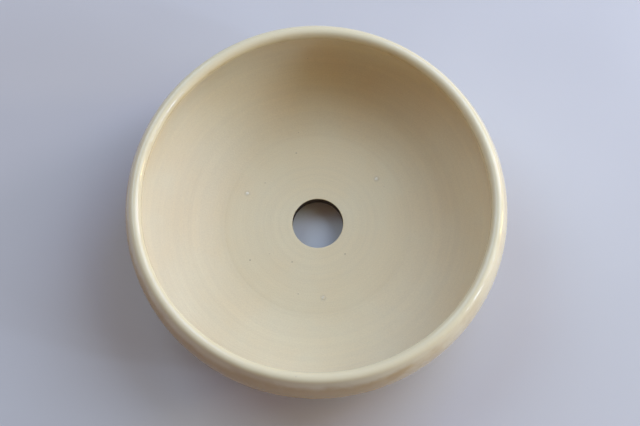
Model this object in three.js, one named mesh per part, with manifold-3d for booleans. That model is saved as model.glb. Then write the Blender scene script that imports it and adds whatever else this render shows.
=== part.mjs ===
// A round bonsai pot: a thrown clay bowl with one drainage hole, a glaze coat over its outside and
// lip, three feet cut from a foot ring, and three kiln wad marks on the floor.
// Millimetres, +Z up. The origin is on the table, under the centre of the drainage hole.
import * as THREE from "three";
import { mergeVertices } from "three/addons/utils/BufferGeometryUtils.js";
import Module from "manifold-3d";

// Driving dimensions
const POT_HEIGHT = 53;
const BELLY_RADIUS = 78.2; // the widest place of the outside
const BELLY_HEIGHT = 35.2;
const SHOULDER_ARC_RADIUS = 38; // the outside curve from the belly in to the lip
const WALL_THICKNESS = 5; // at the belly, the clay and the glaze on its outside
const LIP_THICKNESS = 4.9; // the round of the lip, with the glaze on both sides
const GLAZE_THICKNESS = 0.5;
const GLAZE_LINE_DEPTH = 5; // from the top of the lip down to where the glaze stops inside
const GLAZE_LINE_RADIUS = 70.5; // of the clay there
const BASE_RADIUS = 40.6; // the flat of the underside
const FLOOR_RADIUS = 38.6; // the flat of the floor, inside
const FLOOR_BEND_RADIUS = 42; // where the wall would meet the floor without the soft bend
const WALL_CENTRE_RADIUS = 20; // of the middle of the inside curve of the wall
const FLOOR_THICKNESS = 5.5;
const DRAIN_HOLE_RADIUS = 11;
const FOOT_HEIGHT = 5.5;
const FOOT_INNER_RADIUS = 38.5;
const FOOT_SOLE_INNER_RADIUS = 39.3;
const FOOT_SOLE_OUTER_RADIUS = 45.4;
const FOOT_SOLE_EDGE = 0.8; // the softened edge round the sole
const FOOT_SOLE_WIDTH = 34;
const FOOT_TOP_WIDTH = 46;
const FOOT_COUNT = 3;
const FIRST_FOOT_ANGLE = 90; // degrees from +X
const WAD_MARK_RADIUS = 0.85;
const WAD_MARK_HEIGHT = 0.25;
const WAD_MARK_PLACE_RADIUS = 33.2;
const WAD_MARK_ANGLES = [37.5, 156, 275]; // degrees; set by hand in the kiln, so not quite even

// Fineness of the curves
const TURN_STEPS = 72;
const BELLY_STEPS = 8;
const BEND_STEPS = 3;
const SHOULDER_STEPS = 4;
const LIP_STEPS = 6;
const FOOT_END_STEPS = 5;
const WAD_MARK_STEPS = 14;

const CREAM_GLAZE = { color: 0xebe6cf, roughness: 0.15, metalness: 0 };
const BUFF_CLAY = { color: 0xd6ccb0, roughness: 0.85, metalness: 0 };
const WHITE_WAD = { color: 0xece9e1, roughness: 0.8, metalness: 0 };

// The section of the wall is drawn with the radius along x and the height along y.
const floorTop = FOOT_HEIGHT + FLOOR_THICKNESS;
const lipGlazeRadius = LIP_THICKNESS / 2;
const lipClayRadius = lipGlazeRadius - GLAZE_THICKNESS;
const lipCentreHeight = POT_HEIGHT - lipGlazeRadius;
const lipArcRadius = SHOULDER_ARC_RADIUS - lipGlazeRadius;
const lipAngle = Math.asin((lipCentreHeight - BELLY_HEIGHT) / lipArcRadius);
const shoulderCentreRadius = BELLY_RADIUS - SHOULDER_ARC_RADIUS;
const lipCentreRadius = shoulderCentreRadius + lipArcRadius * Math.cos(lipAngle);
const glazeLineHeight = POT_HEIGHT - GLAZE_LINE_DEPTH;

// A quarter ellipse from the edge of the base up to the belly, a given depth under the outside.
function bellyCurve(depth, bottomHeight) {
  const reach = BELLY_RADIUS - depth - BASE_RADIUS;
  const rise = BELLY_HEIGHT - bottomHeight;
  const curve = new THREE.EllipseCurve(BASE_RADIUS, BELLY_HEIGHT, reach, rise, -Math.PI / 2, 0);
  return curve.getPoints(BELLY_STEPS);
}

// Inside, a soft bend leads from the floor to the wall, which curves up to the belly.
function innerBellyCurve() {
  const reach = BELLY_RADIUS - WALL_THICKNESS - WALL_CENTRE_RADIUS;
  const bendShare = (FLOOR_BEND_RADIUS - WALL_CENTRE_RADIUS) / reach;
  const rise = (BELLY_HEIGHT - floorTop) / Math.sqrt(1 - bendShare * bendShare);
  const bendEnd = 2 * FLOOR_BEND_RADIUS - FLOOR_RADIUS;
  const start = -Math.acos((bendEnd - WALL_CENTRE_RADIUS) / reach);
  const wall = new THREE.EllipseCurve(WALL_CENTRE_RADIUS, BELLY_HEIGHT, reach, rise, start, 0)
    .getPoints(BELLY_STEPS);
  const bend = new THREE.QuadraticBezierCurve(
    new THREE.Vector2(FLOOR_RADIUS, floorTop),
    new THREE.Vector2(FLOOR_BEND_RADIUS, floorTop),
    wall[0],
  );
  return [...bend.getPoints(BEND_STEPS), ...wall.slice(1)];
}

// An arc that leaves the belly upright and ends at an angle above the level. Its first point is
// left out, because the belly curve holds it.
function shoulderCurve(startRadius, arcRadius, endAngle) {
  const curve = new THREE.EllipseCurve(
    startRadius - arcRadius, BELLY_HEIGHT, arcRadius, arcRadius, 0, endAngle);
  return curve.getPoints(SHOULDER_STEPS).slice(1);
}

// The round of the lip, from its outer side over the top to its inner side. Its first point is left
// out, because the shoulder curve holds it.
function lipCurve(radius) {
  const curve = new THREE.EllipseCurve(
    lipCentreRadius, lipCentreHeight, radius, radius, lipAngle, Math.PI);
  return curve.getPoints(LIP_STEPS).slice(1);
}

// Inside, the arc runs from the belly to the glaze line.
function innerShoulderCurve() {
  const start = BELLY_RADIUS - WALL_THICKNESS;
  const lean = start - GLAZE_LINE_RADIUS;
  const rise = glazeLineHeight - BELLY_HEIGHT;
  const arcRadius = (lean * lean + rise * rise) / (2 * lean);
  return shoulderCurve(start, arcRadius, Math.asin(rise / arcRadius));
}

const outerClay = [
  ...bellyCurve(GLAZE_THICKNESS, FOOT_HEIGHT),
  ...shoulderCurve(
    BELLY_RADIUS - GLAZE_THICKNESS, SHOULDER_ARC_RADIUS - GLAZE_THICKNESS, lipAngle),
];
const clayLip = lipCurve(lipClayRadius);
const innerClay = [...innerBellyCurve(), ...innerShoulderCurve()];
const footTopCorner = outerClay[1]; // the outer corner of the foot ring, where the coat starts

// Turns a closed section about the pot's axis, its height along +Z.
function turned(section) {
  const geometry = new THREE.LatheGeometry([...section, section[0]], TURN_STEPS);
  return geometry.rotateX(Math.PI / 2);
}

function clayBowlGeometry() {
  return turned([
    new THREE.Vector2(DRAIN_HOLE_RADIUS, FOOT_HEIGHT),
    ...outerClay,
    ...clayLip,
    ...innerClay.toReversed(),
    new THREE.Vector2(DRAIN_HOLE_RADIUS, floorTop),
  ]);
}

// The coat lies on the clay, from the top of the feet to the glaze line inside.
function glazeCoatGeometry() {
  const coat = [
    ...bellyCurve(0, FOOT_HEIGHT - GLAZE_THICKNESS).slice(1),
    ...shoulderCurve(BELLY_RADIUS, SHOULDER_ARC_RADIUS, lipAngle),
    ...lipCurve(lipGlazeRadius),
    new THREE.Vector2(GLAZE_LINE_RADIUS - GLAZE_THICKNESS, glazeLineHeight),
  ];
  const coveredClay = [...outerClay.slice(1), ...clayLip, innerClay.at(-1)];
  return turned([...coat, ...coveredClay.toReversed()]);
}

function solidFrom(wasm, geometry) {
  const bare = geometry.index ? geometry.toNonIndexed() : geometry.clone();
  bare.deleteAttribute("normal");
  bare.deleteAttribute("uv");
  const merged = mergeVertices(bare, 1e-4);
  return new wasm.Manifold(
    new wasm.Mesh({
      numProp: 3,
      vertProperties: merged.attributes.position.array,
      triVerts: new Uint32Array(merged.index.array),
    }),
  );
}

function geometryFrom(solid) {
  const mesh = solid.getMesh();
  const geometry = new THREE.BufferGeometry();
  geometry.setAttribute("position", new THREE.BufferAttribute(mesh.vertProperties, 3));
  geometry.setIndex(new THREE.BufferAttribute(mesh.triVerts, 1));
  return geometry.toNonIndexed();
}

// The whole foot ring, thrown on to the underside of the bowl.
function footRingGeometry() {
  return turned([
    new THREE.Vector2(FOOT_INNER_RADIUS, FOOT_HEIGHT),
    new THREE.Vector2(FOOT_INNER_RADIUS, FOOT_SOLE_EDGE),
    new THREE.Vector2(FOOT_SOLE_INNER_RADIUS, 0),
    new THREE.Vector2(FOOT_SOLE_OUTER_RADIUS, 0),
    new THREE.Vector2(FOOT_SOLE_OUTER_RADIUS + FOOT_SOLE_EDGE, FOOT_SOLE_EDGE),
    footTopCorner,
    outerClay[0],
  ]);
}

// The upright block that one foot is kept inside: narrow at the sole and flaring to the base in a
// hollow curve at each end, as a wire-cut notch leaves it.
function footEndsGeometry() {
  const sole = FOOT_SOLE_WIDTH / 2;
  const top = FOOT_TOP_WIDTH / 2;
  const above = footTopCorner.y + 1;
  const outline = new THREE.Shape();
  outline.moveTo(-sole, -1);
  outline.lineTo(sole, -1);
  outline.lineTo(sole, 0);
  outline.quadraticCurveTo(sole, FOOT_HEIGHT * 0.8, top, FOOT_HEIGHT);
  outline.lineTo(top, above);
  outline.lineTo(-top, above);
  outline.lineTo(-top, FOOT_HEIGHT);
  outline.quadraticCurveTo(-sole, FOOT_HEIGHT * 0.8, -sole, 0);
  const block = new THREE.ExtrudeGeometry(outline, {
    depth: 2 * FOOT_INNER_RADIUS,
    bevelEnabled: false,
    curveSegments: FOOT_END_STEPS,
  });
  return block.rotateX(Math.PI / 2);
}

function wadMarkGeometry() {
  const dome = new THREE.EllipseCurve(
    0, 0, WAD_MARK_RADIUS, WAD_MARK_HEIGHT, 0, Math.PI / 2).getPoints(3);
  const section = [new THREE.Vector2(0, 0), ...dome];
  return new THREE.LatheGeometry(section, WAD_MARK_STEPS).rotateX(Math.PI / 2);
}

function named(name, geometry, finish) {
  const mesh = new THREE.Mesh(geometry, new THREE.MeshStandardMaterial(finish));
  mesh.name = name;
  return mesh;
}

const wasm = await Module();
wasm.setup();

const pot = new THREE.Group();
pot.add(named("clay_bowl", clayBowlGeometry(), BUFF_CLAY));
pot.add(named("glaze_coat", glazeCoatGeometry(), CREAM_GLAZE));

const footRing = solidFrom(wasm, footRingGeometry());
for (let i = 0; i < FOOT_COUNT; i += 1) {
  const angle = THREE.MathUtils.degToRad(FIRST_FOOT_ANGLE + (i * 360) / FOOT_COUNT);
  const ends = footEndsGeometry();
  ends.rotateZ(angle + Math.PI / 2);
  const foot = footRing.intersect(solidFrom(wasm, ends));
  pot.add(named(`foot_${i + 1}`, geometryFrom(foot), CREAM_GLAZE));
}

WAD_MARK_ANGLES.forEach((degrees, i) => {
  const angle = THREE.MathUtils.degToRad(degrees);
  const mark = named(`spur_mark_${i + 1}`, wadMarkGeometry(), WHITE_WAD);
  mark.position.set(
    WAD_MARK_PLACE_RADIUS * Math.cos(angle), WAD_MARK_PLACE_RADIUS * Math.sin(angle), floorTop);
  pot.add(mark);
});

export default pot;
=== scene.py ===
import math

import bmesh
import bpy
from bpy.props import FloatProperty, FloatVectorProperty, IntProperty, PointerProperty
from mathutils import Matrix, Vector, noise


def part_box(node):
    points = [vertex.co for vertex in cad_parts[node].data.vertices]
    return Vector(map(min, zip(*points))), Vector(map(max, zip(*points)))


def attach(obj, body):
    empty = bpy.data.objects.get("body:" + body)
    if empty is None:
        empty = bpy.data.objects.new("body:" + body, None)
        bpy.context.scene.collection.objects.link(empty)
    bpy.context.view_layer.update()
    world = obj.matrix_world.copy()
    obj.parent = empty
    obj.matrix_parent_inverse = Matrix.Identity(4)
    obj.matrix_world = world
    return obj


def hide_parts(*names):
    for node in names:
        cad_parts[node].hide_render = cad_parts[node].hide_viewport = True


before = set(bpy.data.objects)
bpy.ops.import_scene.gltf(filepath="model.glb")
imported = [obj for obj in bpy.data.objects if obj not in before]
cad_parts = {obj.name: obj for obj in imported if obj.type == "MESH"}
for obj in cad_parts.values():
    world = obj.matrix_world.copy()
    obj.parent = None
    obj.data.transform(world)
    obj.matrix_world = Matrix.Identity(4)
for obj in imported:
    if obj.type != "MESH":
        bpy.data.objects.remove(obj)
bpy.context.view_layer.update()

bl_info = {
    "name": "Thrown Bonsai Pot",
    "version": (1, 0, 0),
    "blender": (4, 5, 0),
    "location": "View3D > Sidebar > Bonsai Pot",
    "description": "A thrown and glazed bonsai pot with cut feet and kiln marks, in a small studio",
    "category": "Add Mesh",
}

MM = 0.001
FULL_TURN = 2 * math.pi
# A foot's section is spun by this angle first, and then laid between the foot's two ends.
SPUN_ANGLE = 2.0
# Rings fade in and out over this length, so that they never reach an edge.
RING_FADE = 3 * MM
RIPPLE_FADE = 4 * MM
# The glaze line's waver dies out this far above it, and the hole's drift this far outside it.
WAVER_HEIGHT = 1.6 * MM
DRIFT_REACH = 14 * MM
# A wad mark's middle lies this far below the floor's top, and its root is cut flat this far below.
WAD_SINK = 0.02 * MM
WAD_ROOT = 0.12 * MM
LUMPS_PER_METRE = 1900
CRUMBS_PER_METRE = 5200
# Rows of the noise. Each kind of ring follows its own row.
FINE_RING_ROW = (7.3, 0)
BROAD_RING_ROW = (2.1, 5)
RIPPLE_ROW = (4.4, 1)
FEET = ("foot_1", "foot_2", "foot_3")
WAD_MARKS = ("spur_mark_1", "spur_mark_2", "spur_mark_3")

# Heights and radii given by the frame.
pot_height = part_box("glaze_coat")[1].z
belly_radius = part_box("glaze_coat")[1].x
base_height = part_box("clay_bowl")[0].z
floor_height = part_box(WAD_MARKS[0])[0].z


def middle(node):
    """The middle of a node's box."""
    low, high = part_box(node)
    return (low + high) / 2


# ------------------------------------------------------------------ sizes and colours to change

def length(name, description, millimetres):
    return FloatProperty(
        name=name, description=description, default=millimetres * MM, min=0,
        unit="LENGTH", precision=5)


def colour(name, description, red, green, blue):
    return FloatVectorProperty(
        name=name, description=description, default=(red, green, blue), min=0, max=1,
        size=3, subtype="COLOR")


def share(name, description, value):
    return FloatProperty(
        name=name, description=description, default=value, min=0, max=1, subtype="FACTOR")


class BowlShape(bpy.types.PropertyGroup):
    """Sizes of the thrown wall and its floor."""

    belly_height: length("Belly Height", "Height of the widest place of the wall", 35.2)
    shoulder_arc: length("Shoulder Arc", "Radius of the outside curve from belly to lip", 38)
    wall: length("Wall", "Thickness of the wall at the belly, with its glaze", 5)
    lip: length("Lip", "Thickness of the rounded lip, with its glaze", 4.9)
    wall_centre: length("Wall Centre", "Radius of the middle of the wall's inside curve", 20)
    base_radius: length("Base Radius", "Radius of the flat of the underside", 40.6)
    floor_radius: length("Floor Radius", "Radius of the flat of the floor", 38.6)
    floor_bend: length("Floor Bend", "Where the wall would meet the floor without a bend", 42)
    hole_radius: length("Hole Radius", "Radius of the drainage hole", 11)
    hole_drift: length("Hole Drift", "How far the hand-cut hole lies off the middle", 0.55)
    hole_edge: length("Hole Edge", "Softening of the drainage hole's two edges", 0.25)
    ring_relief: length("Ring Relief", "Depth of the turning rings inside", 0.045)
    ring_spacing: length("Ring Spacing", "From one turning ring to the next", 2.4)
    ripple_relief: length("Ripple Relief", "Depth of the soft throwing rings outside", 0.08)
    ripple_spacing: length("Ripple Spacing", "From one outside throwing ring to the next", 3.4)
    floor_groove: length("Floor Groove", "Depth of the groove round the floor", 0.055)
    groove_reach: length("Groove Reach", "From the flat of the floor out to its groove", 1.4)
    groove_width: length("Groove Width", "Half the width of the groove", 0.55)
    kiln_warp: length("Kiln Warp", "How far the lip is drawn to an oval", 0.12)
    kiln_lobes: length("Kiln Lobes", "How far the lip is drawn out above each foot", 0.34)
    kiln_lean: length("Kiln Lean", "How far the lip leans to the front", 0.5)
    turn_steps: IntProperty(
        name="Turn Steps", description="Faces round the pot", default=256, min=24)


class GlazeShape(bpy.types.PropertyGroup):
    """Sizes of the coat of glaze."""

    thickness: length("Thickness", "Thickness of the glaze", 0.5)
    line_depth: length("Line Depth", "From the top of the lip down to the glaze line inside", 5)
    line_radius: length("Line Radius", "Radius of the clay at the glaze line", 70.5)
    line_waver: length("Line Waver", "How far the glaze line wavers up and down", 0.3)
    foot_line: length("Foot Line", "Radius where the glaze stops under the pot", 48.3)


class FootShape(bpy.types.PropertyGroup):
    """Sizes of the three feet, cut from a foot ring."""

    sole_width: length("Sole Width", "Width of a foot where it stands", 34)
    top_width: length("Top Width", "Width of a foot where it joins the base", 46)
    inner_radius: length("Inner Radius", "Inner radius of the foot ring at the base", 38.5)
    sole_inner: length("Sole Inner Radius", "Inner radius of the sole", 39.3)
    sole_outer: length("Sole Outer Radius", "Outer radius of the sole", 45.4)
    top_outer: length("Top Outer Radius", "Outer radius where a foot runs into the wall", 49.2)
    edge: length("Edge", "Rounding of the sole's edges", 0.8)
    end_edge: length("End Edge", "Rounding of the edges of the two cut ends", 0.6)


class ClayFinish(bpy.types.PropertyGroup):
    """Colours and surface of the bare fired clay."""

    body: colour("Body", "Colour of the fired clay", 0.745, 0.660, 0.460)
    warm: colour("Warm", "Colour of the warmer patches", 0.760, 0.645, 0.430)
    speck: colour("Speck", "Colour of the iron specks", 0.16, 0.11, 0.07)
    # Painted shade: the near-black colour of the hole's wall stands in for the shade inside the
    # drainage hole.
    painted_bore_shade: colour("Bore", "Colour of the drainage hole's wall", 0.045, 0.027, 0.015)
    roughness: share("Roughness", "Roughness of the bare clay", 0.82)


class GlazeFinish(bpy.types.PropertyGroup):
    """Colours and surface of the glaze."""

    # Painted light and shade in part: thick, the paler colour, also stands for the light on the lip
    # and on the side towards the windows; thin, the darker tan, also stands for the shade on the
    # belly.
    thick: colour("Thick", "Colour where the glaze lies thick", 0.78, 0.71, 0.49)
    thin: colour("Thin", "Colour where the glaze runs thin", 0.55, 0.39, 0.165)
    roughness: share("Roughness", "Roughness of the glaze", 0.11)


class Studio(bpy.types.PropertyGroup):
    """The table, the lights and the camera."""

    table: colour("Table", "Colour of the table", 0.60, 0.60, 0.62)
    camera_distance: length("Camera Distance", "From the camera to the pot", 448)
    camera_elevation: FloatProperty(
        name="Camera Elevation", description="Angle of the camera above the table",
        default=math.radians(73.9), subtype="ANGLE")


SETTINGS = {
    "bonsai_pot_bowl": BowlShape,
    "bonsai_pot_glaze": GlazeShape,
    "bonsai_pot_foot": FootShape,
    "bonsai_pot_clay_finish": ClayFinish,
    "bonsai_pot_glaze_finish": GlazeFinish,
    "bonsai_pot_studio": Studio,
}


# ------------------------------------------------------------------ outlines, as (radius, height)

def arc(centre, radii, start, end, steps):
    """Points along an ellipse's arc, both ends included."""
    points = []
    for i in range(steps + 1):
        angle = start + (end - start) * i / steps
        points.append(
            (centre[0] + radii[0] * math.cos(angle), centre[1] + radii[1] * math.sin(angle)))
    return points


def line(start, end, steps):
    """Points along a straight line, both ends included."""
    return [
        (start[0] + (end[0] - start[0]) * i / steps, start[1] + (end[1] - start[1]) * i / steps)
        for i in range(steps + 1)
    ]


def joined(*stretches):
    """One outline of several stretches, without the points where two of them meet."""
    outline = []
    for stretch in stretches:
        for point in stretch:
            if not outline or math.dist(point, outline[-1]) > 1e-6:
                outline.append(point)
    return outline


def smooth_curve(start, bend, end, steps):
    """A curve from start to end that leaves and arrives towards the bend."""
    points = []
    for i in range(steps + 1):
        t = i / steps
        near, pull, far = (1 - t) ** 2, 2 * t * (1 - t), t * t
        points.append(tuple(
            near * a + pull * b + far * c for a, b, c in zip(start, bend, end)))
    return points


class Section:
    """The section of the pot's wall, drawn from the sizes in the panel."""

    def __init__(self, bowl, glaze):
        self.bowl = bowl
        self.glaze = glaze
        self.base_edge = (bowl.base_radius, bowl.belly_height)
        half_lip = bowl.lip / 2
        reach = bowl.shoulder_arc - half_lip
        self.lip_angle = math.asin((pot_height - half_lip - bowl.belly_height) / reach)
        self.lip_centre = (
            belly_radius - bowl.shoulder_arc + reach * math.cos(self.lip_angle),
            pot_height - half_lip)
        self.line_height = pot_height - glaze.line_depth

    def belly(self, depth, bottom, steps):
        """From the base's edge up to the belly, a depth under the outside."""
        reach = belly_radius - depth - self.bowl.base_radius
        rise = self.bowl.belly_height - bottom
        return arc(self.base_edge, (reach, rise), -math.pi / 2, 0, steps)

    def inner_belly(self, steps):
        """Inside, a soft bend from the floor into the wall, which curves up to the belly."""
        bowl = self.bowl
        reach = belly_radius - bowl.wall - bowl.wall_centre
        bend_share = (bowl.floor_bend - bowl.wall_centre) / reach
        rise = (bowl.belly_height - floor_height) / math.sqrt(1 - bend_share * bend_share)
        bend_end = 2 * bowl.floor_bend - bowl.floor_radius
        start = -math.acos((bend_end - bowl.wall_centre) / reach)
        wall = arc((bowl.wall_centre, bowl.belly_height), (reach, rise), start, 0, steps)
        bend = smooth_curve(
            (bowl.floor_radius, floor_height), (bowl.floor_bend, floor_height), wall[0], 16)
        return joined(bend, wall)

    def shoulder(self, depth, steps):
        """From the belly up to the lip, a depth under the outside."""
        centre = (belly_radius - self.bowl.shoulder_arc, self.bowl.belly_height)
        radius = self.bowl.shoulder_arc - depth
        return arc(centre, (radius, radius), 0, self.lip_angle, steps)

    def round_lip(self, depth, steps):
        """Over the lip, from its outer side to its inner side."""
        radius = self.bowl.lip / 2 - depth
        return arc(self.lip_centre, (radius, radius), self.lip_angle, math.pi, steps)

    def inner_shoulder(self, steps):
        """Inside, from the belly up to the glaze line."""
        start = belly_radius - self.bowl.wall
        lean = start - self.glaze.line_radius
        rise = self.line_height - self.bowl.belly_height
        radius = (lean * lean + rise * rise) / (2 * lean)
        centre = (start - radius, self.bowl.belly_height)
        return arc(centre, (radius, radius), 0, math.asin(rise / radius), steps)

    def body(self):
        """The whole outline of the clay, from the underside's hole edge round to it again."""
        bowl = self.bowl
        hole, edge = bowl.hole_radius, bowl.hole_edge
        upper_edge = arc(
            (hole + edge, floor_height - edge), (edge, edge), math.pi / 2, math.pi, 5)
        lower_edge = arc(
            (hole + edge, base_height + edge), (edge, edge), math.pi, 1.5 * math.pi, 5)
        inside = joined(
            self.inner_shoulder(30)[::-1],
            self.inner_belly(96)[::-1],
            line((bowl.floor_radius, floor_height), upper_edge[0], 72),
        )
        return joined(
            line((hole + edge, base_height), (bowl.base_radius, base_height), 10),
            self.belly(self.glaze.thickness, base_height, 36),
            self.shoulder(self.glaze.thickness, 12),
            self.round_lip(self.glaze.thickness, 14),
            self.finger_marks(inside),
            upper_edge,
            line(upper_edge[-1], lower_edge[0], 8),
            lower_edge[:-1],
        )

    def finger_marks(self, inside):
        """Moves the inside a little along its normal, as the thrower's fingers and rib leave it."""
        bowl = self.bowl
        marked = [inside[0]]
        travelled = 0.0
        for before, here, after in zip(inside, inside[1:], inside[2:]):
            travelled += math.dist(before, here)
            along = Vector((after[0] - before[0], after[1] - before[1])).normalized()
            fine = noise.noise(Vector((travelled / bowl.ring_spacing, *FINE_RING_ROW)))
            broad = noise.noise(Vector((travelled / bowl.ring_spacing / 4, *BROAD_RING_ROW)))
            lift = bowl.ring_relief * (fine + 1.8 * broad)
            past_groove = (here[0] - bowl.floor_radius - bowl.groove_reach) / bowl.groove_width
            lift -= bowl.floor_groove * math.exp(-past_groove * past_groove)
            near_start = min(1.0, travelled / RING_FADE)
            from_hole = here[0] - bowl.hole_radius - RING_FADE / 2
            lift *= near_start * min(1.0, max(0.0, from_hole) / RING_FADE)
            marked.append((here[0] + along.y * lift, here[1] - along.x * lift))
        return [*marked, inside[-1]]

    def ripples(self, outside):
        """Moves the glazed side in and out a little, as the throwing rings below it do."""
        rippled = []
        for radius, height in outside:
            from_edge = min(radius - outside[0][0], outside[-1][1] - height)
            fade = min(1.0, max(0.0, from_edge / RIPPLE_FADE))
            ripple = noise.noise(Vector((height / self.bowl.ripple_spacing, *RIPPLE_ROW)))
            rippled.append((radius + self.bowl.ripple_relief * ripple * fade, height))
        return rippled

    def coat(self):
        """The outline of the glaze: its shiny side, a bead at each edge, and the clay under it."""
        thick = self.glaze.thickness
        outside = self.belly(0, base_height - thick, 64)
        clay_side = self.belly(thick, base_height, 64)
        first = next(i for i, point in enumerate(outside) if point[0] > self.glaze.foot_line)
        foot_bead = smooth_curve(clay_side[first - 1], outside[first - 1], outside[first], 5)
        line_end = (self.glaze.line_radius, self.line_height)
        inner_top = (self.lip_centre[0] - self.bowl.lip / 2, self.lip_centre[1])
        bead_start = (self.glaze.line_radius - 1.15 * thick, self.line_height + 1.5 * thick)
        bead_bend = (self.glaze.line_radius - 1.2 * thick, self.line_height)
        return joined(
            foot_bead,
            self.ripples(outside[first:]),
            self.shoulder(0, 20),
            self.round_lip(0, 34),
            line(inner_top, bead_start, 4),
            smooth_curve(bead_start, bead_bend, line_end, 6),
            self.round_lip(thick, 10)[::-1],
            self.shoulder(thick, 8)[::-1],
            clay_side[:first - 1:-1],
        )


# ------------------------------------------------------------------ mesh work

def spun(outline, angle, steps):
    """A bmesh of a closed outline turned about the pot's axis, from +X on."""
    bm = bmesh.new()
    ring = [bm.verts.new((radius, 0, height)) for radius, height in outline]
    for here, after in zip(ring, [*ring[1:], ring[0]]):
        bm.edges.new((here, after))
    bmesh.ops.spin(
        bm, geom=[*bm.verts, *bm.edges], cent=(0, 0, 0), axis=(0, 0, 1), angle=angle,
        steps=steps, use_merge=angle >= FULL_TURN)
    bmesh.ops.remove_doubles(bm, verts=bm.verts, dist=1e-7)
    bmesh.ops.recalc_face_normals(bm, faces=bm.faces)
    return bm


def warp_in_kiln(bm, bowl):
    """Strays the wall from a true circle, more towards the lip, as drying and firing do."""
    amount = bowl.kiln_warp
    for vert in bm.verts:
        rise = max(0.0, vert.co.z - base_height) / (pot_height - base_height)
        angle = math.atan2(vert.co.y, vert.co.x)
        # Mostly an oval, with a little of a three-sided shape. Each is turned its own way.
        oval = 0.7 * math.cos(2 * angle + 0.6) + 0.3 * math.cos(3 * angle - 1.1)
        outwards = Vector((vert.co.x, vert.co.y, 0)).normalized()
        vert.co += outwards * oval * amount * rise * rise
        vert.co -= outwards * math.sin(3 * angle) * bowl.kiln_lobes * rise ** 4
        vert.co.y -= bowl.kiln_lean * rise ** 4
        vert.co.z += 0.4 * amount * (math.cos(2 * angle - 0.9) - 1) * rise * rise


def make_piece(bm, name, material, node):
    """Makes a finished piece that stands for a node and rides on the pot's one body."""
    mesh = bpy.data.meshes.new(name)
    bm.to_mesh(mesh)
    bm.free()
    mesh.shade_smooth()
    mesh.materials.append(material)
    piece = bpy.data.objects.new(name, mesh)
    bpy.context.scene.collection.objects.link(piece)
    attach(piece, "root")
    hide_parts(node)
    return piece


# ------------------------------------------------------------------ shader node groups

def add_node(tree, kind, inputs=None, **settings):
    """Adds a node. Each input is a number, a colour or the socket that feeds it."""
    node = tree.nodes.new(kind)
    for name, value in settings.items():
        setattr(node, name, value)
    for key, value in (inputs or {}).items():
        if isinstance(value, bpy.types.NodeSocket):
            tree.links.new(value, node.inputs[key])
        else:
            node.inputs[key].default_value = value
    return node


def calculate(tree, operation, *values):
    """A Math node's result."""
    return add_node(
        tree, "ShaderNodeMath", dict(enumerate(values)), operation=operation).outputs[0]


def ramped(tree, value, low, high, to_low=0.0, to_high=1.0):
    """Takes a value smoothly from to_low at low, to to_high at high."""
    return add_node(
        tree, "ShaderNodeMapRange",
        {"Value": value, "From Min": low, "From Max": high, "To Min": to_low, "To Max": to_high},
        interpolation_type="SMOOTHSTEP").outputs["Result"]


def mixed(tree, factor, first, second, blend="MIX"):
    """A colour mixed of two. Each is a socket or a plain red, green and blue."""
    one, two = (
        value if isinstance(value, bpy.types.NodeSocket) else (*value, 1)
        for value in (first, second))
    return add_node(
        tree, "ShaderNodeMix", {0: factor, 6: one, 7: two},
        data_type="RGBA", blend_type=blend).outputs[2]


def from_axis(tree, place):
    """How far a place lies from the upright axis."""
    level = add_node(tree, "ShaderNodeVectorMath", {0: place, 1: (1, 1, 0)}, operation="MULTIPLY")
    return add_node(
        tree, "ShaderNodeVectorMath", {0: level.outputs[0]}, operation="LENGTH").outputs["Value"]


def noise_at(tree, vector, scale, detail=2.0, roughness=0.5):
    """A noise between 0 and 1."""
    return add_node(
        tree, "ShaderNodeTexNoise",
        {"Vector": vector, "Scale": scale, "Detail": detail, "Roughness": roughness}).outputs[0]


def new_group(name, inputs, outputs):
    """An empty shader node group. Returns its tree, its input sockets and its output node."""
    tree = bpy.data.node_groups.new(name, "ShaderNodeTree")
    for socket_name, default in inputs.items():
        kind = "NodeSocketVector" if isinstance(default, tuple) else "NodeSocketFloat"
        socket = tree.interface.new_socket(socket_name, in_out="INPUT", socket_type=kind)
        socket.default_value = default
    for socket_name in outputs:
        tree.interface.new_socket(socket_name, in_out="OUTPUT", socket_type="NodeSocketFloat")
    sockets = tree.nodes.new("NodeGroupInput").outputs
    return tree, sockets, tree.nodes.new("NodeGroupOutput")


def turning_rings_group():
    """Rings round the pot's axis, as the wheel leaves them, and colour streaks along them."""
    tree, given, out = new_group(
        "Turning Rings", {"Vector": (0.0, 0.0, 0.0), "Spacing": 0.001, "Wander": 0.3},
        ("Relief", "Streaks"))
    split = add_node(tree, "ShaderNodeSeparateXYZ", {0: given["Vector"]})
    radius = from_axis(tree, given["Vector"])
    drift = noise_at(tree, given["Vector"], 45.0, 1.0)
    drift = calculate(tree, "MULTIPLY", calculate(tree, "SUBTRACT", drift, 0.5), given["Wander"])
    across = calculate(tree, "ADD", calculate(tree, "DIVIDE", radius, given["Spacing"]), drift)
    along = calculate(tree, "DIVIDE", split.outputs[2], given["Spacing"])
    on_wheel = add_node(tree, "ShaderNodeCombineXYZ", {0: across, 2: along}).outputs[0]
    relief = noise_at(tree, on_wheel, 1.0, 3.0, 0.6)
    broken = noise_at(tree, given["Vector"], 90.0, 2.0)
    fine = noise_at(tree, on_wheel, 2.3, 2.0, 0.7)
    streaks = calculate(
        tree, "MULTIPLY", ramped(tree, fine, 0.52, 0.72), ramped(tree, broken, 0.35, 0.65))
    tree.links.new(relief, out.inputs["Relief"])
    tree.links.new(streaks, out.inputs["Streaks"])
    return tree


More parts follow.
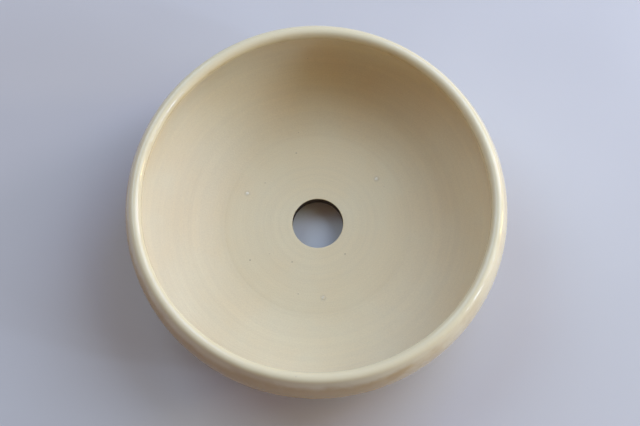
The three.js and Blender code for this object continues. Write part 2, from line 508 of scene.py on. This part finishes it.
def iron_specks_group():
    """Scattered round specks: one in each cell of a lattice, of which only a share shows."""
    tree, given, out = new_group(
        "Iron Specks", {"Vector": (0.0, 0.0, 0.0), "Spacing": 0.004, "Size": 0.1, "Share": 0.3},
        ("Mask",))
    scale = calculate(tree, "DIVIDE", 1.0, given["Spacing"])
    cells = add_node(
        tree, "ShaderNodeTexVoronoi", {"Vector": given["Vector"], "Scale": scale}, feature="F1")
    lot = add_node(tree, "ShaderNodeSeparateColor", {0: cells.outputs["Color"]})
    own_size = calculate(
        tree, "MULTIPLY", given["Size"], ramped(tree, lot.outputs[1], 0.0, 1.0, 0.35, 1.0))
    inner = calculate(tree, "MULTIPLY", own_size, 0.45)
    dot = ramped(tree, cells.outputs["Distance"], inner, own_size, 1.0, 0.0)
    chosen = calculate(tree, "LESS_THAN", lot.outputs[0], given["Share"])
    tree.links.new(calculate(tree, "MULTIPLY", dot, chosen), out.inputs["Mask"])
    return tree


def spot_group():
    """One soft round spot at a place, full out to one radius and gone at another."""
    tree, given, out = new_group(
        "Spot", {
            "Vector": (0.0, 0.0, 0.0), "Place": (0.0, 0.0, 0.0),
            "Full Radius": 0.0002, "Outer Radius": 0.0005},
        ("Mask",))
    ragged = noise_at(tree, given["Vector"], 1500.0, 1.0)
    away = add_node(
        tree, "ShaderNodeVectorMath", {0: given["Vector"], 1: given["Place"]},
        operation="DISTANCE").outputs["Value"]
    away = calculate(
        tree, "ADD", away, calculate(
            tree, "MULTIPLY", calculate(tree, "SUBTRACT", ragged, 0.5), given["Full Radius"]))
    mask = ramped(tree, away, given["Full Radius"], given["Outer Radius"], 1.0, 0.0)
    tree.links.new(mask, out.inputs["Mask"])
    return tree


def kiln_mottle_group():
    """Soft clouds of colour from the firing, and a fine grain."""
    tree, given, out = new_group(
        "Kiln Mottle", {"Vector": (0.0, 0.0, 0.0), "Cloud": 0.03, "Grain": 0.0006},
        ("Clouds", "Grain"))
    clouds = noise_at(tree, given["Vector"], calculate(tree, "DIVIDE", 1.0, given["Cloud"]), 3.0)
    grain = noise_at(
        tree, given["Vector"], calculate(tree, "DIVIDE", 1.0, given["Grain"]), 2.0, 0.65)
    tree.links.new(ramped(tree, clouds, 0.3, 0.7), out.inputs["Clouds"])
    tree.links.new(grain, out.inputs["Grain"])
    return tree


def shared_effects():
    """The shader node groups that the pot's finishes share, made once."""
    makers = {
        "Turning Rings": turning_rings_group,
        "Iron Specks": iron_specks_group,
        "Spot": spot_group,
        "Kiln Mottle": kiln_mottle_group,
    }
    return {
        name: bpy.data.node_groups.get(name) or make() for name, make in makers.items()}


def effect(tree, name, **values):
    """Places one shared effect in a material with its own values."""
    node = tree.nodes.new("ShaderNodeGroup")
    node.node_tree = shared_effects()[name]
    for key, value in values.items():
        socket = node.inputs[key.replace("_", " ").title()]
        if isinstance(value, bpy.types.NodeSocket):
            tree.links.new(value, socket)
        else:
            socket.default_value = value
    return node.outputs


def new_material(name):
    """A material with its Principled shader, its tree and the pot's own coordinates."""
    material = bpy.data.materials.new(name)
    material.use_nodes = True
    tree = material.node_tree
    surface = next(node for node in tree.nodes if node.type == "BSDF_PRINCIPLED")
    place = add_node(tree, "ShaderNodeTexCoord").outputs["Object"]
    centred = add_node(tree, "ShaderNodeMapping", {"Vector": place}).outputs["Vector"]
    return material, tree, surface, centred


def raised(tree, height, distance, below=None, strength=1.0):
    """A Bump node's normal. The distance is in metres."""
    inputs = {"Height": height, "Distance": distance, "Strength": strength}
    if below is not None:
        inputs["Normal"] = below
    return add_node(tree, "ShaderNodeBump", inputs).outputs["Normal"]


# ------------------------------------------------------------------ finishes

# Iron specks that show in the clay, as x, y, height and radius in millimetres.
CLAY_SPECKS = (
    (-9.0, 32.2, 11.0, 0.42),
    (-28.6, -16.5, 11.0, 0.50),
    (-10.5, -17.3, 11.0, 0.42),
    (12.3, -13.8, 11.0, 0.45),
    (-22.6, 18.3, 11.0, 0.34),
    (-7.8, -31.3, 11.0, 0.34),
    (60.4, 23.2, 31.0, 0.55),
)


# Darker clay that shows in streaks, in broad bands and in the grain, and painted shade round each
# wad mark.
STREAK_CLAY = (0.62, 0.53, 0.37)
BAND_CLAY = (0.60, 0.53, 0.39)
GRAIN_CLAY = (0.56, 0.48, 0.34)
WAD_SHADE_CLAY = (0.48, 0.42, 0.32)
SOLE_GRAIN = (0.62, 0.53, 0.38)

GLAZE_SPECK = (0.40, 0.31, 0.19)
GLAZE_PIT = (0.45, 0.38, 0.27)
# A pit in the glaze on the front of the lip.
PIT_PLACE = (-7.6 * MM, -71.9 * MM, 53 * MM)

WAD_WHITE = (0.86, 0.83, 0.74)
WAD_BUFF = (0.72, 0.66, 0.53)
WAD_GRAIN = (0.62, 0.54, 0.40)
WAD_STAIN = (0.69, 0.60, 0.41)


def bare_clay():
    """Fired buff stoneware with its grain, its turning rings and a few iron specks, and painted
    shade in the drainage hole and round each wad mark.
    """
    finish = bpy.context.scene.bonsai_pot_clay_finish
    bowl = bpy.context.scene.bonsai_pot_bowl
    material, tree, surface, place = new_material("bare_clay")
    mottle = effect(tree, "Kiln Mottle", vector=place, cloud=22 * MM, grain=0.55 * MM)
    rings = effect(tree, "Turning Rings", vector=place, spacing=0.85 * MM, wander=1.1)
    broad_rings = effect(tree, "Turning Rings", vector=place, spacing=3.4 * MM, wander=0.6)
    specks = effect(
        tree, "Iron Specks", vector=place, spacing=4.2 * MM, size=0.055, share=0.22)["Mask"]

    base = mixed(tree, mottle["Clouds"], tuple(finish.body), tuple(finish.warm))
    streaked = mixed(
        tree, calculate(tree, "MULTIPLY", rings["Streaks"], 0.28), base, STREAK_CLAY)
    banded = mixed(
        tree, ramped(tree, broad_rings["Relief"], 0.35, 0.65, 0.0, 0.16),
        streaked, BAND_CLAY)
    grained = mixed(
        tree, ramped(tree, mottle["Grain"], 0.25, 0.75, 0.0, 0.28), banded, GRAIN_CLAY)

    # Painted shade: a darker ring round each wad mark.
    wad_shade_mask = None
    for node in WAD_MARKS:
        spot = effect(
            tree, "Spot", vector=place, place=middle(node), full_radius=1.0 * MM,
            outer_radius=1.7 * MM)["Mask"]
        wad_shade_mask = spot if wad_shade_mask is None else calculate(tree, "MAXIMUM", wad_shade_mask, spot)
    wad_shaded = mixed(tree, calculate(tree, "MULTIPLY", wad_shade_mask, 0.30), grained, WAD_SHADE_CLAY)
    for x, y, z, radius in CLAY_SPECKS:
        spot = effect(
            tree, "Spot", vector=place, place=(x * MM, y * MM, z * MM),
            full_radius=0.4 * radius * MM, outer_radius=radius * MM)["Mask"]
        specks = calculate(tree, "MAXIMUM", specks, calculate(tree, "MULTIPLY", spot, 0.8))
    coloured = mixed(
        tree, calculate(tree, "MULTIPLY", specks, 0.6), wad_shaded, tuple(finish.speck))

    # Painted shade in the drainage hole: its wall below the floor takes the near-black colour.
    from_hole = add_node(
        tree, "ShaderNodeVectorMath", {0: place, 1: (bowl.hole_drift, 0, 0)},
        operation="SUBTRACT").outputs[0]
    near_axis = ramped(
        tree, from_axis(tree, from_hole), bowl.hole_radius + 0.1 * MM,
        bowl.hole_radius + 0.4 * MM, 1.0, 0.0)
    height = add_node(tree, "ShaderNodeSeparateXYZ", {0: place}).outputs[2]
    below_floor = ramped(tree, height, floor_height - 0.35 * MM, floor_height - 0.1 * MM, 1.0, 0.0)
    painted_bore_shade_mask = calculate(tree, "MULTIPLY", near_axis, below_floor)
    coloured = mixed(
        tree, painted_bore_shade_mask, coloured, tuple(finish.painted_bore_shade))
    tree.links.new(coloured, surface.inputs["Base Color"])
    rough = ramped(
        tree, mottle["Grain"], 0.2, 0.8, finish.roughness - 0.06, finish.roughness + 0.06)
    tree.links.new(rough, surface.inputs["Roughness"])
    surface.inputs["IOR"].default_value = 1.45
    ring_bump = raised(tree, rings["Relief"], 0.05 * MM)
    grain_bump = raised(tree, mottle["Grain"], 0.06 * MM, ring_bump)
    tree.links.new(grain_bump, surface.inputs["Normal"])
    return material


def cream_glaze(name, clay_below):
    """Glossy cream glaze over the clay. It stops at clay_below, a mask of where the clay is bare."""
    finish = bpy.context.scene.bonsai_pot_glaze_finish
    clay = bpy.context.scene.bonsai_pot_clay_finish
    material, tree, surface, place = new_material(name)
    split = add_node(tree, "ShaderNodeSeparateXYZ", {0: place})
    height = split.outputs[2]
    mottle = effect(tree, "Kiln Mottle", vector=place, cloud=11 * MM, grain=1.6 * MM)
    rings = effect(tree, "Turning Rings", vector=place, spacing=1.4 * MM, wander=0.8)
    specks = effect(
        tree, "Iron Specks", vector=place, spacing=6 * MM, size=0.06, share=0.15)["Mask"]

    # The paler colour goes to the lip, partly glaze lying thick there and partly painted light on
    # the lit lip. It also goes down the +X side, which is painted light on the side towards the
    # windows.
    thick_lip_and_light = ramped(tree, height, 44 * MM, 53 * MM)
    painted_light_side = ramped(tree, split.outputs[0], 12 * MM, 62 * MM, 0.0, 0.8)
    # Glaze thickness and painted light together.
    thickness = calculate(tree, "MAXIMUM", thick_lip_and_light, painted_light_side)
    uneven = calculate(
        tree, "ADD", thickness, ramped(tree, mottle["Clouds"], 0.0, 1.0, -0.15, 0.15))
    base = mixed(tree, ramped(tree, uneven, 0.0, 1.0), tuple(finish.thin), tuple(finish.thick))
    streaked = mixed(
        tree, calculate(tree, "MULTIPLY", rings["Streaks"], 0.12), base, tuple(finish.thin))
    specked = mixed(
        tree, calculate(tree, "MULTIPLY", specks, 0.45), streaked, GLAZE_SPECK)
    pinhole = effect(
        tree, "Spot", vector=place, place=PIT_PLACE,
        full_radius=0.15 * MM, outer_radius=0.45 * MM)["Mask"]
    pitted = mixed(
        tree, calculate(tree, "MULTIPLY", pinhole, 0.35), specked, GLAZE_PIT)
    rough = ramped(
        tree, mottle["Grain"], 0.2, 0.8, finish.roughness - 0.03, finish.roughness + 0.04)
    orange_peel = raised(tree, mottle["Grain"], 0.012 * MM)
    bumped = raised(tree, rings["Relief"], 0.02 * MM, orange_peel)
    if clay_below is not None:
        bare = clay_below(tree, place, height)
        grain = effect(
            tree, "Kiln Mottle", vector=place, cloud=22 * MM, grain=0.55 * MM)["Grain"]
        bare_colour = mixed(tree, grain, tuple(clay.body), SOLE_GRAIN)
        pitted = mixed(tree, bare, pitted, bare_colour)
        rough = calculate(
            tree, "ADD", rough, calculate(
                tree, "MULTIPLY", bare, clay.roughness - finish.roughness))
        bumped = raised(tree, calculate(tree, "MULTIPLY", grain, bare), 0.08 * MM, bumped)
    tree.links.new(pitted, surface.inputs["Base Color"])
    tree.links.new(rough, surface.inputs["Roughness"])
    tree.links.new(bumped, surface.inputs["Normal"])
    surface.inputs["IOR"].default_value = 1.46
    return material


def bare_sole(tree, place, height):
    """Where a foot's clay is bare: its wiped sole and its inner side, with a wavering edge."""
    waver = calculate(
        tree, "MULTIPLY", calculate(tree, "SUBTRACT", noise_at(tree, place, 160.0), 0.5), 1.1 * MM)
    sole = ramped(
        tree, calculate(tree, "ADD", height, waver), 0.75 * MM, 1.05 * MM, 1.0, 0.0)
    inner = ramped(
        tree, calculate(tree, "ADD", from_axis(tree, place), waver),
        40.0 * MM, 40.5 * MM, 1.0, 0.0)
    return calculate(tree, "MAXIMUM", sole, inner)


def kiln_wad():
    """The chalky white leavings of a kiln wad. The front one took up some of the clay's colour."""
    material, tree, surface, place = new_material("kiln_wad")
    mottle = effect(tree, "Kiln Mottle", vector=place, cloud=1.5 * MM, grain=0.3 * MM)
    base = mixed(tree, mottle["Clouds"], WAD_WHITE, WAD_BUFF)
    grained = mixed(tree, ramped(tree, mottle["Grain"], 0.3, 0.7, 0.0, 0.35), base, WAD_GRAIN)
    along = add_node(tree, "ShaderNodeSeparateXYZ", {0: place}).outputs[1]
    front = ramped(tree, along, -25 * MM, -20 * MM, 0.35, 0.0)
    stained = mixed(tree, front, grained, WAD_STAIN)
    tree.links.new(stained, surface.inputs["Base Color"])
    rough = ramped(tree, mottle["Grain"], 0.2, 0.8, 0.75, 0.95)
    tree.links.new(rough, surface.inputs["Roughness"])
    tree.links.new(raised(tree, mottle["Grain"], 0.08 * MM), surface.inputs["Normal"])
    return material


def painted_table():
    """A plain, pale, satin table top."""
    studio = bpy.context.scene.bonsai_pot_studio
    material, tree, surface, place = new_material("pale_table")
    cloud = noise_at(tree, place, 9.0, 2.0)
    grain = noise_at(tree, place, 900.0, 2.0)
    pale = tuple(studio.table)
    darker = tuple(0.955 * part for part in pale)
    coloured = mixed(tree, ramped(tree, cloud, 0.3, 0.7), pale, darker)
    tree.links.new(coloured, surface.inputs["Base Color"])
    tree.links.new(ramped(tree, grain, 0.3, 0.7, 0.55, 0.65), surface.inputs["Roughness"])
    tree.links.new(raised(tree, grain, 0.015 * MM), surface.inputs["Normal"])
    surface.inputs["Specular IOR Level"].default_value = 0.25
    return material


# ------------------------------------------------------------------ operators

class BONSAIPOT_OT_throw_body(bpy.types.Operator):
    """Throw the clay bowl with its drainage hole"""

    bl_idname = "bonsai_pot.throw_body"
    bl_label = "Throw Body"

    def execute(self, context):
        scene = context.scene
        bowl = scene.bonsai_pot_bowl
        section = Section(bowl, scene.bonsai_pot_glaze)
        bm = spun(section.body(), FULL_TURN, bowl.turn_steps)
        for vert in bm.verts:
            radius = Vector((vert.co.x, vert.co.y)).length
            near_hole = 1 - (radius - bowl.hole_radius) / DRIFT_REACH
            vert.co.x += bowl.hole_drift * max(0.0, near_hole)
        warp_in_kiln(bm, bowl)
        make_piece(bm, "thrown_body", bare_clay(), "clay_bowl")
        return {"FINISHED"}


class BONSAIPOT_OT_glaze(bpy.types.Operator):
    """Coat the outside and the lip with glaze"""

    bl_idname = "bonsai_pot.glaze"
    bl_label = "Glaze"

    def execute(self, context):
        scene = context.scene
        bowl = scene.bonsai_pot_bowl
        glaze = scene.bonsai_pot_glaze
        section = Section(bowl, glaze)
        bm = spun(section.coat(), FULL_TURN, bowl.turn_steps)
        for vert in bm.verts:
            inside = Vector((vert.co.x, vert.co.y)).length < section.lip_centre[0]
            near_line = 1 - (vert.co.z - section.line_height) / WAVER_HEIGHT
            if inside and near_line > 0:
                swing = noise.noise(Vector((vert.co.x, vert.co.y, 0)) * 70)
                swing += 0.4 * noise.noise(Vector((vert.co.x, vert.co.y, 1)) * 260)
                vert.co.z += glaze.line_waver * swing * min(1.0, near_line)
        warp_in_kiln(bm, bowl)
        make_piece(bm, "glaze_skin", cream_glaze("cream_glaze", None), "glaze_coat")
        return {"FINISHED"}


class BONSAIPOT_OT_cut_feet(bpy.types.Operator):
    """Cut the three feet from the foot ring"""

    bl_idname = "bonsai_pot.cut_feet"
    bl_label = "Cut Feet"

    def execute(self, context):
        foot = context.scene.bonsai_pot_foot
        glazed = cream_glaze("foot_glaze", bare_sole)
        for node in FEET:
            bm = spun(self.outline(foot), SPUN_ANGLE, 44)
            self.flare_ends(bm, foot)
            self.close_ends(bm, foot)
            towards = middle(node)
            quarter = math.atan2(towards.y, towards.x)
            bmesh.ops.rotate(
                bm, verts=bm.verts, cent=(0, 0, 0), matrix=Matrix.Rotation(quarter, 3, "Z"))
            make_piece(bm, "cut_" + node, glazed, node)
        return {"FINISHED"}

    def outline(self, foot):
        """The section of the foot ring, with rounded edges at the sole and a fillet at the wall."""
        edge = foot.edge
        inner_top = (foot.inner_radius - 0.6 * MM, base_height + 0.3 * MM)
        outer_top = (foot.top_outer, base_height + 0.32 * MM)
        return joined(
            line(inner_top, (foot.inner_radius, base_height - 0.5 * MM), 3),
            line((foot.inner_radius, base_height - 0.5 * MM), (foot.sole_inner - edge, edge), 6),
            smooth_curve((foot.sole_inner - edge, edge), (foot.sole_inner - 0.6 * edge, 0),
                         (foot.sole_inner, 0), 5),
            line((foot.sole_inner, 0), (foot.sole_outer, 0), 8),
            smooth_curve((foot.sole_outer, 0), (foot.sole_outer + 0.7 * edge, 0),
                         (foot.sole_outer + edge, edge), 5),
            smooth_curve((foot.sole_outer + edge, edge), (foot.sole_outer + 1.7 * MM, 5.2 * MM),
                         outer_top, 12),
            line(outer_top, inner_top, 8)[:-1],
        )

    def flare_ends(self, bm, foot):
        """Lays each cross-section between two ends that flare in a hollow curve to the base.

        From 0 at the sole to 1 at the base, t gives the height start_slope * t - easing * t * t
        and the flare t * t.
        """
        start_slope, easing = 1.6, 0.6
        sole = foot.sole_width / 2
        flare = (foot.top_width - foot.sole_width) / 2
        for vert in bm.verts:
            share_along = 2 * math.atan2(vert.co.y, vert.co.x) / SPUN_ANGLE - 1
            radius = Vector((vert.co.x, vert.co.y)).length
            height = min(1.0, max(0.0, vert.co.z / base_height))
            root = math.sqrt(max(0.0, start_slope ** 2 - 4 * easing * height))
            climbed = (start_slope - root) / (2 * easing)
            sideways = share_along * (sole + flare * climbed * climbed)
            angle = math.asin(sideways / radius)
            vert.co.x = radius * math.cos(angle)
            vert.co.y = radius * math.sin(angle)

    def close_ends(self, bm, foot):
        """Fills the two cut ends and softens their edges."""
        open_edges = [edge for edge in bm.edges if edge.is_boundary]
        bmesh.ops.holes_fill(bm, edges=open_edges)
        bmesh.ops.recalc_face_normals(bm, faces=bm.faces)
        bmesh.ops.bevel(
            bm, geom=open_edges, offset=foot.end_edge, offset_type="OFFSET", affect="EDGES",
            segments=3, profile=0.5, material=-1, clamp_overlap=True)
        ends = [face for face in bm.faces if len(face.verts) > 4]
        bmesh.ops.triangulate(bm, faces=ends)
        bmesh.ops.recalc_face_normals(bm, faces=bm.faces)


class BONSAIPOT_OT_kiln_wads(bpy.types.Operator):
    """Leave the three kiln wad marks on the floor"""

    bl_idname = "bonsai_pot.kiln_wads"
    bl_label = "Kiln Wads"

    def execute(self, context):
        chalky = kiln_wad()
        for number, node in enumerate(WAD_MARKS):
            low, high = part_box(node)
            place = middle(node)
            radius = (high.x - low.x) / 2
            own_row = number * 9.0
            bm = bmesh.new()
            bmesh.ops.create_icosphere(bm, subdivisions=4, radius=radius)
            for vert in bm.verts:
                lumps = noise.noise(vert.co * LUMPS_PER_METRE + Vector((own_row, 0, 0)))
                crumbs = noise.noise(vert.co * CRUMBS_PER_METRE + Vector((0, own_row, 0)))
                vert.co *= 0.84 + 0.22 * lumps + 0.08 * crumbs
            thin = (high.z - low.z) / radius
            bmesh.ops.scale(bm, vec=(1, 1, 1.2 * thin), verts=bm.verts)
            bmesh.ops.translate(bm, vec=(place.x, place.y, low.z - WAD_SINK), verts=bm.verts)
            bmesh.ops.bisect_plane(
                bm, geom=[*bm.verts, *bm.edges, *bm.faces], plane_co=(0, 0, low.z - WAD_ROOT),
                plane_no=(0, 0, -1), clear_outer=True)
            bmesh.ops.holes_fill(bm, edges=[edge for edge in bm.edges if edge.is_boundary])
            bmesh.ops.recalc_face_normals(bm, faces=bm.faces)
            make_piece(bm, f"kiln_wad_{number + 1}", chalky, node)
        return {"FINISHED"}


# Soft lights: name, width, height and distance in metres, direction as degrees round from +X and
# degrees up, and colour. All have the same power.
LIGHT_WATTS = 40
LIGHTS = (
    ("window", 0.47, 0.157, 1.5, -10, 21, (0.044, 0.060, 0.088)),
    ("window_pane", 0.08, 0.18, 1.5, -18, 22, (0.042, 0.053, 0.072)),
    ("window_corner", 0.05, 0.14, 1.5, -24, 22, (0.015, 0.019, 0.025)),
    ("low_window", 0.157, 0.157, 1.5, 8, 9, (0.125, 0.09, 0.04)),
    ("far_window", 0.3, 0.3, 1.5, 25, 25, (0.076, 0.065, 0.086)),
    ("right_sky", 0.7, 0.7, 1.0, 20, 48, (0.072, 0.076, 0.052)),
    ("back_right_sky", 0.7, 0.7, 1.0, 45, 48, (0.052, 0.077, 0.140)),
    ("back_left_sky", 0.9, 0.9, 1.6, 135, 48, (0.118, 0.172, 0.210)),
    ("left_sky", 0.9, 0.9, 1.6, 150, 30, (0.023, 0.010, 0.022)),
)
ROOM = (0.209, 0.131, 0.088)
BEYOND = (0.62, 0.64, 0.68)
LOOKED_AT = Vector((1.51 * MM, 0, 26.9 * MM))


class BONSAIPOT_OT_studio(bpy.types.Operator):
    """Set up the table, the soft lights and the camera"""

    bl_idname = "bonsai_pot.studio"
    bl_label = "Studio"

    def execute(self, context):
        studio = context.scene.bonsai_pot_studio
        self.lay_table()
        for light in LIGHTS:
            self.hang_light(*light)
        self.light_the_room()
        self.set_camera(studio)
        context.scene.view_settings.view_transform = "Standard"
        return {"FINISHED"}

    def lay_table(self):
        bm = bmesh.new()
        bmesh.ops.create_circle(bm, cap_ends=True, segments=96, radius=3.0)
        mesh = bpy.data.meshes.new("table")
        bm.to_mesh(mesh)
        bm.free()
        mesh.materials.append(painted_table())
        table = bpy.data.objects.new("table", mesh)
        bpy.context.scene.collection.objects.link(table)

    def hang_light(self, name, width, height, distance, around, up, tint):
        light = bpy.data.lights.new(name, "AREA")
        light.shape = "RECTANGLE"
        light.size, light.size_y = width, height
        light.color = tint
        light.energy = LIGHT_WATTS
        lamp = bpy.data.objects.new(name, light)
        around, up = math.radians(around), math.radians(up)
        towards = Vector((
            math.cos(up) * math.cos(around), math.cos(up) * math.sin(around), math.sin(up)))
        lamp.location = towards * distance + Vector((0, 0, 0.03))
        lamp.rotation_euler = (-towards).to_track_quat("-Z", "Y").to_euler()
        bpy.context.scene.collection.objects.link(lamp)

    def light_the_room(self):
        """The room's dim warm fill. Looked at directly, the room is plain and pale."""
        world = bpy.data.worlds.new("room")
        world.use_nodes = True
        tree = world.node_tree
        background = next(node for node in tree.nodes if node.type == "BACKGROUND")
        seen = add_node(tree, "ShaderNodeLightPath").outputs["Is Camera Ray"]
        tree.links.new(mixed(tree, seen, ROOM, BEYOND), background.inputs["Color"])
        bpy.context.scene.world = world

    def set_camera(self, studio):
        lens = bpy.data.cameras.new("camera")
        lens.lens = 60
        lens.sensor_width = 36
        lens.clip_start = 0.01
        camera = bpy.data.objects.new("camera", lens)
        tilt = math.pi / 2 - studio.camera_elevation
        back = Vector((0, -math.sin(tilt), math.cos(tilt)))
        camera.location = LOOKED_AT + back * studio.camera_distance
        camera.rotation_euler = (tilt, 0, 0)
        bpy.context.scene.collection.objects.link(camera)
        bpy.context.scene.camera = camera


class BONSAIPOT_PT_pot(bpy.types.Panel):
    """The pot's pieces, their sizes and their finishes"""

    bl_idname = "BONSAIPOT_PT_pot"
    bl_label = "Bonsai Pot"
    bl_space_type = "VIEW_3D"
    bl_region_type = "UI"
    bl_category = "Bonsai Pot"

    def draw(self, context):
        layout = self.layout
        for operator in OPERATORS:
            layout.operator(operator.bl_idname)
        for attribute, group in SETTINGS.items():
            box = layout.box()
            box.label(text=group.__doc__)
            for name in group.__annotations__:
                box.prop(getattr(context.scene, attribute), name)


OPERATORS = (
    BONSAIPOT_OT_throw_body,
    BONSAIPOT_OT_glaze,
    BONSAIPOT_OT_cut_feet,
    BONSAIPOT_OT_kiln_wads,
    BONSAIPOT_OT_studio,
)
CLASSES = (*SETTINGS.values(), *OPERATORS, BONSAIPOT_PT_pot)


def register():
    for cls in CLASSES:
        bpy.utils.register_class(cls)
    for attribute, group in SETTINGS.items():
        setattr(bpy.types.Scene, attribute, PointerProperty(type=group))


def unregister():
    for attribute in SETTINGS:
        delattr(bpy.types.Scene, attribute)
    for cls in reversed(CLASSES):
        bpy.utils.unregister_class(cls)


def main():
    register()
    bpy.ops.bonsai_pot.throw_body()
    bpy.ops.bonsai_pot.glaze()
    bpy.ops.bonsai_pot.cut_feet()
    bpy.ops.bonsai_pot.kiln_wads()
    bpy.ops.bonsai_pot.studio()


if __name__ == "__main__":
    main()
